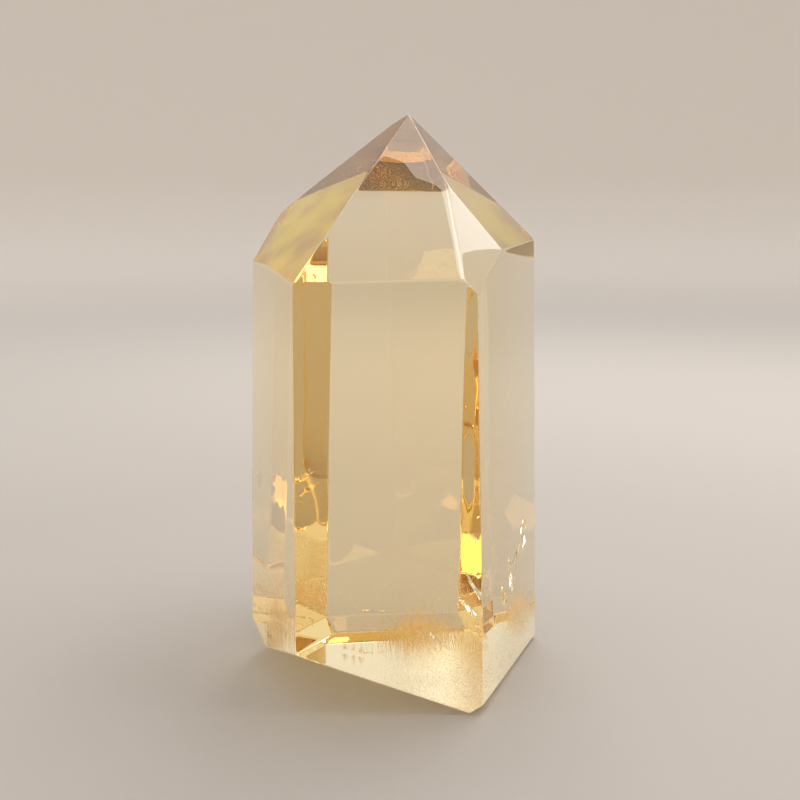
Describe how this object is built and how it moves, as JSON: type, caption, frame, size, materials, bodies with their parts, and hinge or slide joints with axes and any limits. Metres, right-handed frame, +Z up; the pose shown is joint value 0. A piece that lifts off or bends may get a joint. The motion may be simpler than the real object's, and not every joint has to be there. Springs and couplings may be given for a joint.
{
  "type": "citrine crystal point",
  "caption": "Clear pale yellow quartz point: six-sided polished prism with a faceted tip, standing on a flat sawn foot with undercut lower edges.",
  "frame": {"origin": "on the floor under the middle of the stone's footprint box", "axes": "+Z up along the prism to the tip, -Y towards the broad front face, +X to the right of someone facing it"},
  "size_m": [0.0522, 0.056, 0.0952],
  "materials": {
    "citrine": "hand polished, clear, pale yellow"
  },
  "bodies": {
    "root": {"citrine_point": "citrine"}
  },
  "joints": []
}
